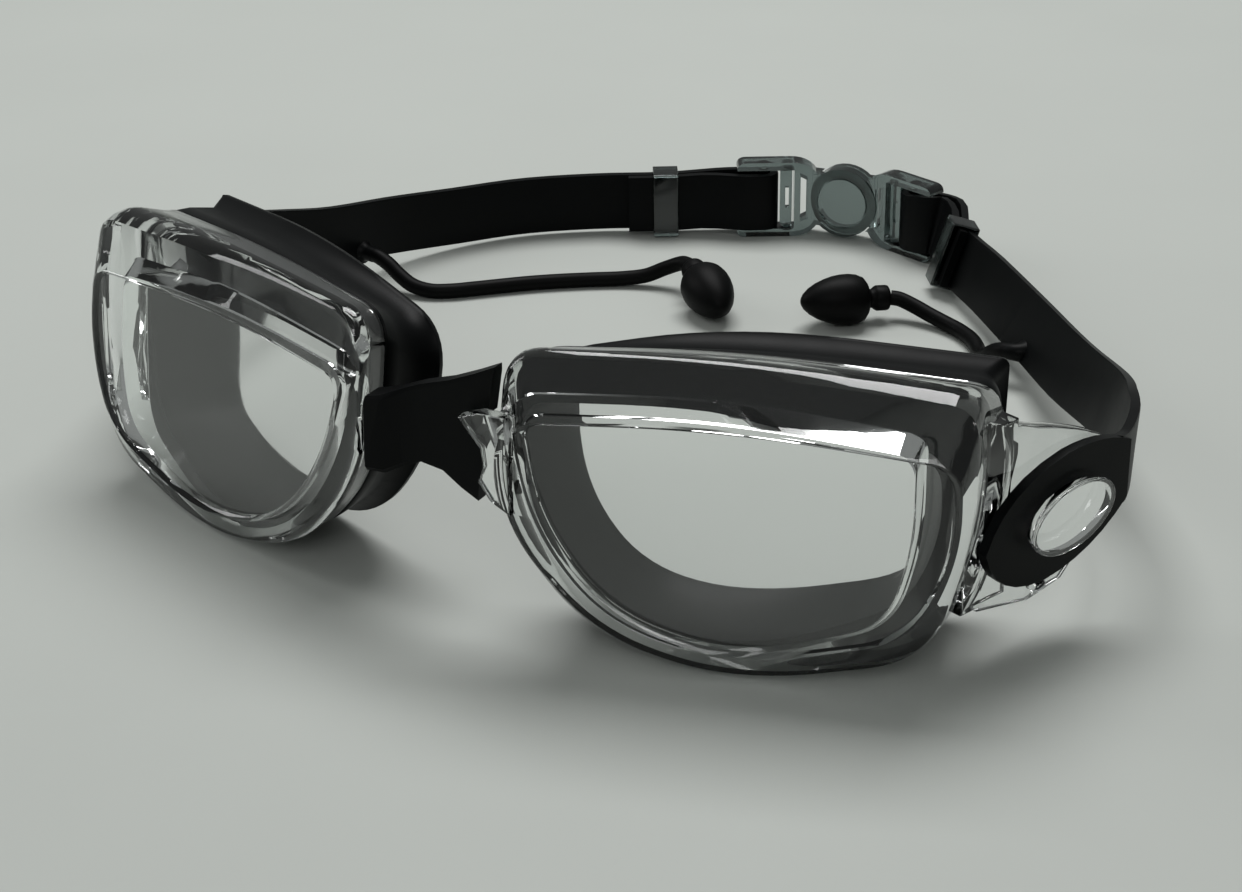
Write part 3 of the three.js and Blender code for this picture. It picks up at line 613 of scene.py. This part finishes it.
def catmull_rom(route, per_span=8):
    """Even points on the centripetal curve through the route, as the cord's solid follows it."""
    points = [Vector(p) for p in route]
    ends = [points[0] * 2 - points[1], *points, points[-1] * 2 - points[-2]]
    smooth = []
    for p0, p1, p2, p3 in zip(ends, ends[1:], ends[2:], ends[3:]):
        t1 = (p1 - p0).length ** 0.5
        t2 = t1 + (p2 - p1).length ** 0.5
        t3 = t2 + (p3 - p2).length ** 0.5
        for step in range(per_span):
            t = t1 + (t2 - t1) * step / per_span
            a1 = p0.lerp(p1, t / t1)
            a2 = p1.lerp(p2, (t - t1) / (t2 - t1))
            a3 = p2.lerp(p3, (t - t2) / (t3 - t2))
            b1 = a1.lerp(a2, t / t2)
            b2 = a2.lerp(a3, (t - t1) / (t3 - t1))
            smooth.append(b1.lerp(b2, (t - t1) / (t2 - t1)))
    return [*smooth, points[-1]]


def ear_plug(name):
    """Soft bell on a collar, turned round its own axis."""
    back, nose = PLUG_ENDS[name]
    bm = bmesh.new()
    previous = None
    for radius, along in PLUG_PROFILE:
        vert = bm.verts.new((radius, 0, along))
        if previous:
            bm.edges.new((previous, vert))
        previous = vert
    bmesh.ops.spin(
        bm, geom=list(bm.verts) + list(bm.edges), axis=(0, 0, 1), cent=(0, 0, 0), angle=2 * math.pi, steps=40,
    )
    bmesh.ops.remove_doubles(bm, verts=bm.verts, dist=1e-3)
    turn = Vector((0, 0, 1)).rotation_difference(nose - back).to_matrix().to_4x4()
    laid_in_metres(bm, 1, Matrix.Translation(back) @ turn)
    made = shaded(finished(bm, f"soft_plug_{name}"), 70)
    return dressed(made, "plug_silicone_satin", "plug_silicone", "goggles", f"ear_plug_{name}")


def plug_cord(name, plug):
    points = in_metres(catmull_rom(CORD_ROUTES[name]))
    curve = bpy.data.curves.new(f"silicone_cord_{name}", "CURVE")
    curve.dimensions = "3D"
    curve.bevel_depth = CORD_DIAMETER / 2000
    curve.bevel_resolution = 5
    curve.use_fill_caps = True
    spline = curve.splines.new("POLY")
    spline.points.add(len(points) - 1)
    for point, place in zip(spline.points, points):
        point.co = (*place, 1)
    spline.use_smooth = True
    made = bpy.data.objects.new(f"silicone_cord_{name}", curve)
    bpy.context.collection.objects.link(made)
    curve.materials.append(material_of("plug_silicone_satin"))
    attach(made, "goggles")
    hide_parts(f"plug_cord_{name}")
    return made


def cord_root(name):
    """Flared root where the cord branches from its strap, moulded with the strap and bent square to it."""
    start, after = (Vector(p) for p in CORD_ROUTES[name][:2])
    end = Vector(CORD_ROOT_ENDS[name])
    out = (start - after).normalized()
    knee = start + out * (end - start).length * 0.45
    stations = [(start - out * 1.4, out, 1.53)]
    for t, radius in ((0, 1.6), (0.25, 1.66), (0.5, 1.8), (0.75, 2.05), (1, 2.4)):
        first, second = start.lerp(knee, t), knee.lerp(end, t)
        stations.append((first.lerp(second, t), (second - first).normalized(), radius))
    spokes = [math.tau * k / 24 for k in range(24)]
    rings = []
    for centre, along, radius in stations:
        turn = along.to_track_quat("Z", "Y")
        rings.append([centre + turn @ Vector((radius * math.cos(a), radius * math.sin(a), 0)) for a in spokes])
    bm = loft(rings)
    laid_in_metres(bm)
    made = shaded(finished(bm, f"silicone_cord_root_{name}"), 50)
    return dressed(made, "black_silicone_satin", "black_silicone", "goggles")


# ---------------------------------------------------------------- settings
class GogglesColours(bpy.types.PropertyGroup):
    shell: FloatVectorProperty(
        name="Shell", description="Tint of the clear eyecup shells", subtype="COLOR", min=0, max=1,
        default=linear("#fbfdfc"))
    clasp: FloatVectorProperty(
        name="Clasp", description="Smoke tint of the clasp, locks and keepers", subtype="COLOR", min=0, max=1,
        default=linear("#74807f"))
    silicone: FloatVectorProperty(
        name="Silicone", description="Gaskets, nose bridge and straps", subtype="COLOR", min=0, max=1,
        default=linear("#040505"))
    silicone_worn: FloatVectorProperty(
        name="Silicone highlights", description="Paler clouds in the silicone's skin",
        subtype="COLOR", min=0, max=1, default=linear("#090b0c"))
    plug: FloatVectorProperty(
        name="Plugs", description="Ear plugs and their cords",
        subtype="COLOR", min=0, max=1, default=linear("#040404"))
    table: FloatVectorProperty(
        name="Table", description="The pale table top",
        subtype="COLOR", min=0, max=1, default=linear("#bcc0bb"))


class GogglesFinishes(bpy.types.PropertyGroup):
    shell_roughness: FloatProperty(
        name="Shell roughness", description="Polish of the clear shells", default=0.015, min=0, max=1)
    clasp_roughness: FloatProperty(
        name="Clasp roughness", description="Polish of the smoke plastic", default=0.08, min=0, max=1)
    silicone_roughness: FloatProperty(
        name="Silicone roughness", description="Sheen of the silicone", default=0.42, min=0, max=1)
    strap_edge: FloatProperty(
        name="Strap edge", description="Rounding of the strap's edges in metres",
        unit="LENGTH", default=0.0003, min=0)
    clasp_edge: FloatProperty(
        name="Clasp edge", description="Rounding of the clasp's edges in metres",
        unit="LENGTH", default=0.0003, min=0)


# ---------------------------------------------------------------- operators
class GOGGLES_OT_stage(bpy.types.Operator):
    """Camera, pale table and soft studio lights"""
    bl_idname = "goggles.stage"
    bl_label = "Stage"

    def execute(self, context):
        camera = bpy.data.objects.new("camera", bpy.data.cameras.new("camera"))
        camera.data.lens = 73.6
        camera.data.clip_start = 0.01
        camera.matrix_world = (
            Matrix.Translation(in_metres([(198.5, -288.9, 199.6)])[0])
            @ Matrix.Rotation(math.radians(30.36), 4, "Z")
            @ Matrix.Rotation(math.radians(90 - 26.41), 4, "X")
            @ Matrix.Rotation(math.radians(-0.87), 4, "Z")
        )
        context.collection.objects.link(camera)
        context.scene.camera = camera

        bm = bmesh.new()
        bmesh.ops.create_grid(bm, x_segments=8, y_segments=8, size=2.5)
        table = finished(bm, "table_top")
        table.data.materials.append(painted_table("painted_board_matt", context.scene.goggles_colours.table))

        world = context.scene.world or bpy.data.worlds.new("studio")
        context.scene.world = world
        world.use_nodes = True
        world.node_tree.nodes.clear()
        sky = add(world.node_tree, "ShaderNodeBackground", {"Color": (0.93, 0.97, 0.95, 1), "Strength": 0.2})
        add(world.node_tree, "ShaderNodeOutputWorld", links={"Surface": sky.outputs["Background"]})
        softboxes = (
            # name, place, aimed at, width, height, watts (metres)
            ("overhead", (-0.15, 0.35, 0.9), (0, 0, 0), 0.7, 0.45, 7.5),
            ("front", (0.5, -0.9, 0.8), (0, 0, 0.02), 0.5, 0.4, 1.8),
            ("side", (-0.9, -0.2, 0.5), (0, 0, 0.02), 0.25, 0.6, 1.6),
        )
        for name, place, target, width, height, watts in softboxes:
            data = bpy.data.lights.new(name, "AREA")
            data.shape = "RECTANGLE"
            data.size = width
            data.size_y = height
            data.energy = watts
            light = bpy.data.objects.new(name, data)
            light.location = place
            light.rotation_euler = (Vector(target) - Vector(place)).to_track_quat("-Z", "Y").to_euler()
            context.collection.objects.link(light)
        context.scene.view_settings.view_transform = "Standard"
        return {"FINISHED"}


class GOGGLES_OT_ear_plugs(bpy.types.Operator):
    """Ear plugs and their cords, lying on the table"""
    bl_idname = "goggles.ear_plugs"
    bl_label = "Ear Plugs"

    def execute(self, context):
        for name in SIDES:
            plug_cord(name, ear_plug(name))
            cord_root(name)
        return {"FINISHED"}


class GOGGLES_OT_lens_shells(bpy.types.Operator):
    """Clear eyecup shells with their temple wings and nose fixings"""
    bl_idname = "goggles.lens_shells"
    bl_label = "Lens Shells"

    def execute(self, context):
        for name in SIDES:
            lens_shell(name)
        return {"FINISHED"}


class GOGGLES_OT_face_gaskets(bpy.types.Operator):
    """Black silicone gaskets behind the shells"""
    bl_idname = "goggles.face_gaskets"
    bl_label = "Face Gaskets"

    def execute(self, context):
        for name in SIDES:
            face_gasket(name)
        return {"FINISHED"}


class GOGGLES_OT_nose_bridge(bpy.types.Operator):
    """Silicone nose bridge between the shells"""
    bl_idname = "goggles.nose_bridge"
    bl_label = "Nose Bridge"

    def execute(self, context):
        made = softened(finished(node_copy("nose_bridge"), "silicone_bridge"), 0.9)
        dressed(made, "black_silicone_satin", "black_silicone", None, "nose_bridge")
        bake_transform(made)
        return {"FINISHED"}


class GOGGLES_OT_head_straps(bpy.types.Operator):
    """Silicone head straps, each with its eye on the shell's boss and its tail through the clasp"""
    bl_idname = "goggles.head_straps"
    bl_label = "Head Straps"

    def execute(self, context):
        edge = context.scene.goggles_finishes.strap_edge * 1000
        right = softened(finished(node_copy("head_strap_right"), "silicone_strap_right"), edge)
        dressed(right, "black_silicone_satin", "black_silicone", "goggles", "head_strap_right")
        split = in_metres([(0, 124, 0)])[0]
        halves = []
        for name, rear in (("front", False), ("rear", True)):
            bm = node_copy("head_strap_left")
            bmesh.ops.bisect_plane(
                bm, geom=[*bm.verts, *bm.edges, *bm.faces], plane_co=split, plane_no=(0, 1, 0),
                clear_outer=not rear, clear_inner=rear,
            )
            rims = [edge for edge in bm.edges if edge.is_boundary]
            bmesh.ops.holes_fill(bm, edges=rims, sides=0)
            made = finished(bm, f"silicone_strap_left_{name}")
            halves.append(dressed(softened(made, edge), "black_silicone_satin", "black_silicone", None))
        front, rear = halves
        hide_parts("head_strap_left")
        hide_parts("head_strap_left")
        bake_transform(front)
        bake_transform(rear)
        return {"FINISHED"}


class GOGGLES_OT_clasp(bpy.types.Operator):
    """Hub clasp: stud half, ring half and the lock plates that bite the straps"""
    bl_idname = "goggles.clasp"
    bl_label = "Clasp"

    def execute(self, context):
        edge = context.scene.goggles_finishes.clasp_edge * 1000
        homes = {
            "clasp_stud_half": "clasp_stud", "clasp_ring_half": "goggles",
            "strap_lock_left": "lock_left", "strap_lock_right": "lock_right",
        }
        for node, body in homes.items():
            made = softened(finished(node_copy(node), f"smoke_{node}"), edge, 2)
            dressed(made, "smoke_polycarbonate_moulded", "smoke_plastic", body, node)
        return {"FINISHED"}


class GOGGLES_OT_strap_keepers(bpy.types.Operator):
    """Smoke plastic keepers that hold the strap tails"""
    bl_idname = "goggles.strap_keepers"
    bl_label = "Strap Keepers"

    def execute(self, context):
        for name in SIDES:
            made = softened(finished(node_copy(f"strap_keeper_{name}"), f"smoke_keeper_{name}"), 0.3, 2)
            dressed(made, "smoke_polycarbonate_moulded", "smoke_plastic", f"keeper_{name}", f"strap_keeper_{name}")
        return {"FINISHED"}


MAKERS = (
    GOGGLES_OT_stage, GOGGLES_OT_ear_plugs, GOGGLES_OT_lens_shells, GOGGLES_OT_face_gaskets,
    GOGGLES_OT_nose_bridge, GOGGLES_OT_head_straps, GOGGLES_OT_clasp, GOGGLES_OT_strap_keepers,
)


class GOGGLES_PT_maker(bpy.types.Panel):
    """Lists the pieces and their settings"""
    bl_label = "Swimming Goggles"
    bl_idname = "GOGGLES_PT_maker"
    bl_space_type = "VIEW_3D"
    bl_region_type = "UI"
    bl_category = "Goggles"

    def draw(self, context):
        layout = self.layout
        for settings in (context.scene.goggles_colours, context.scene.goggles_finishes):
            for name in settings.__annotations__:
                layout.prop(settings, name)
        for maker in MAKERS:
            layout.operator(maker.bl_idname)


CLASSES = (GogglesColours, GogglesFinishes, *MAKERS, GOGGLES_PT_maker)


def register():
    for cls in CLASSES:
        bpy.utils.register_class(cls)
    bpy.types.Scene.goggles_colours = PointerProperty(type=GogglesColours)
    bpy.types.Scene.goggles_finishes = PointerProperty(type=GogglesFinishes)


def unregister():
    del bpy.types.Scene.goggles_finishes
    del bpy.types.Scene.goggles_colours
    for cls in reversed(CLASSES):
        bpy.utils.unregister_class(cls)


def main():
    register()
    for maker in MAKERS:
        group, name = maker.bl_idname.split(".")
        getattr(getattr(bpy.ops, group), name)()


if __name__ == "__main__":
    main()
